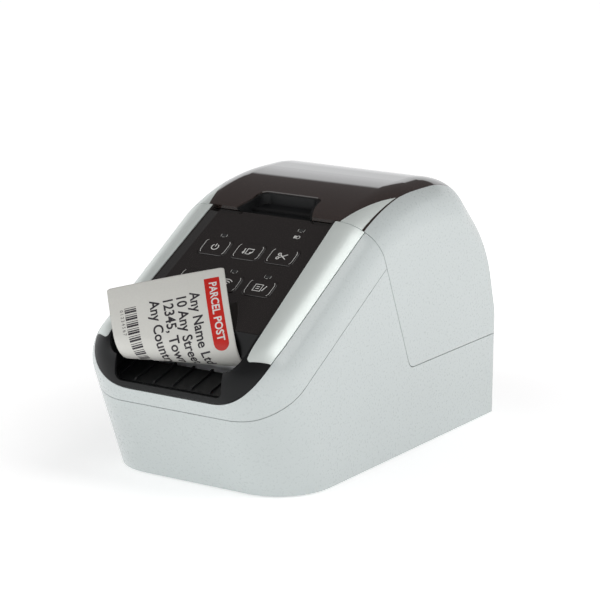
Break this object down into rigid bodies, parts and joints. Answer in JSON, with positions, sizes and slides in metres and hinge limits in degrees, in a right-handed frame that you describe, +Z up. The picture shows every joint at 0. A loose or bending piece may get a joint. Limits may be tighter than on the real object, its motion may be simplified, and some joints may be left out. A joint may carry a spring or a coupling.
{
  "type": "thermal label printer",
  "caption": "Desktop thermal label printer with a rear-hinged lid, sloping glossy control panel, silver rails and a label curling out of the front slot.",
  "frame": {"origin": "centre of the outline on the floor, under the rubber feet", "axes": "+Z up, front and label exit face -Y, lid hinge at the rear along X"},
  "size_m": [0.1254, 0.234, 0.145],
  "materials": {
    "case_white": "light cool grey moulded plastic, fine satin gloss",
    "gloss_black": "piano black, polished",
    "rail_silver": "silver metallic paint",
    "inner_black": "black moulded plastic",
    "lens": "smoked clear window",
    "rubber": "soft black rubber",
    "circuit_board": "green laminate",
    "label_paper": "coated label paper",
    "core_card": "grey card",
    "white_nylon": "natural nylon",
    "steel": "zinc plated steel",
    "aluminium": "extruded, plain",
    "ceramic": "glazed white",
    "brass": "machined"
  },
  "bodies": {
    "case": {"base_screws": "steel", "base_shell": "case_white", "bottom_plate": "inner_black", "control_panel": "gloss_black", "cutter_frame": "steel", "cutter_motor": "steel", "dc_pin": "brass", "dc_socket": "inner_black", "exit_hood": "gloss_black", "exit_tray": "inner_black", "feed_motor": "steel", "fixed_blade": "steel", "front_cover": "case_white", "head_pivot": "steel", "head_springs": "steel", "idler_stud": "steel", "indicator_lenses": "lens", "keypad_mat": "rubber", "label_web": "label_paper", "main_board": "circuit_board", "mouth_bezel": "gloss_black", "panel_board": "circuit_board", "platen_bushes": "inner_black", "print_frame": "steel", "printed_label": "label_paper", "rail_left": "rail_silver", "rail_right": "rail_silver", "roll_bay": "inner_black", "roll_bracket_left": "inner_black", "roll_bracket_right": "inner_black", "rubber_feet": "rubber", "usb_socket": "steel"},
    "lid": {"lid_cover": "gloss_black", "lid_side_left": "case_white", "lid_side_right": "case_white", "lid_trim_left": "rail_silver", "lid_trim_right": "rail_silver", "lid_handle": "gloss_black", "lid_frame": "inner_black", "hinge_pins": "steel"},
    "roll": {"label_roll": "label_paper", "roll_core": "core_card", "spool_left": "white_nylon", "spool_right": "white_nylon"},
    "platen": {"platen_shaft": "steel", "platen_roller": "rubber", "platen_gear": "white_nylon"},
    "idler": {"idler_gear": "white_nylon"},
    "feed_pinion": {"motor_pinion": "brass"},
    "head": {"print_head": "ceramic", "heat_sink": "aluminium", "head_bracket": "steel"},
    "blade": {"moving_blade": "steel"},
    "cutter_drive": {"cutter_pinion": "brass"},
    "button_cut_cap": {"button_cut": "gloss_black"},
    "button_editor_cap": {"button_editor": "gloss_black"},
    "button_feed_cap": {"button_feed": "gloss_black"},
    "button_label_cap": {"button_label": "gloss_black"},
    "button_power_cap": {"button_power": "gloss_black"},
    "button_wireless_cap": {"button_wireless": "gloss_black"}
  },
  "joints": [
    {"name": "lid_hinge", "type": "hinge", "parent": "case", "child": "lid", "pos_m": [0, 0.1147, 0.05], "axis": [-1, 0, 0], "range_deg": [0, 75]},
    {"name": "roll_spin", "type": "hinge", "parent": "case", "child": "roll", "pos_m": [0, 0.04, 0.062], "axis": [1, 0, 0], "continuous": true},
    {"name": "platen_spin", "type": "hinge", "parent": "case", "child": "platen", "pos_m": [0, -0.07, 0.0745], "axis": [1, 0, 0], "continuous": true},
    {"name": "idler_spin", "type": "hinge", "parent": "case", "child": "idler", "pos_m": [-0.0485, -0.0592, 0.05579], "axis": [1, 0, 0], "continuous": true},
    {"name": "feed_pinion_spin", "type": "hinge", "parent": "case", "child": "feed_pinion", "pos_m": [-0.0485, -0.0592, 0.03899], "axis": [1, 0, 0], "continuous": true},
    {"name": "head_release", "type": "hinge", "parent": "case", "child": "head", "pos_m": [0, -0.04, 0.058], "axis": [1, 0, 0], "range_deg": [0, 5], "deforming": ["head_springs"]},
    {"name": "cutter_pinion_spin", "type": "hinge", "parent": "case", "child": "cutter_drive", "pos_m": [0.0518, -0.0886, 0.0705], "axis": [0, -1, 0], "range_deg": [0, 47.8]},
    {"name": "blade_slide", "type": "slide", "parent": "case", "child": "blade", "axis": [0, 0, -1], "range_m": [0, 0.005]},
    {"name": "button_cut_press", "type": "slide", "parent": "case", "child": "button_cut_cap", "axis": [0, 0.5176, -0.8556], "range_m": [0, 0.0008], "stiffness_N_per_m": 600},
    {"name": "button_editor_press", "type": "slide", "parent": "case", "child": "button_editor_cap", "axis": [0, 0.5176, -0.8556], "range_m": [0, 0.0008], "stiffness_N_per_m": 600},
    {"name": "button_feed_press", "type": "slide", "parent": "case", "child": "button_feed_cap", "axis": [0, 0.5176, -0.8556], "range_m": [0, 0.0008], "stiffness_N_per_m": 600},
    {"name": "button_label_press", "type": "slide", "parent": "case", "child": "button_label_cap", "axis": [0, 0.5176, -0.8556], "range_m": [0, 0.0008], "stiffness_N_per_m": 600},
    {"name": "button_power_press", "type": "slide", "parent": "case", "child": "button_power_cap", "axis": [0, 0.5176, -0.8556], "range_m": [0, 0.0008], "stiffness_N_per_m": 600},
    {"name": "button_wireless_press", "type": "slide", "parent": "case", "child": "button_wireless_cap", "axis": [0, 0.5176, -0.8556], "range_m": [0, 0.0008], "stiffness_N_per_m": 600}
  ],
  "couplings": [
    {"joint": "idler_spin", "follows": "platen_spin", "ratio": -0.8},
    {"joint": "feed_pinion_spin", "follows": "platen_spin", "ratio": 2},
    {"joint": "head_release", "follows": "lid_hinge", "ratio": 0.0666},
    {"joint": "cutter_pinion_spin", "follows": "blade_slide", "rad_per_m": 166.67}
  ]
}
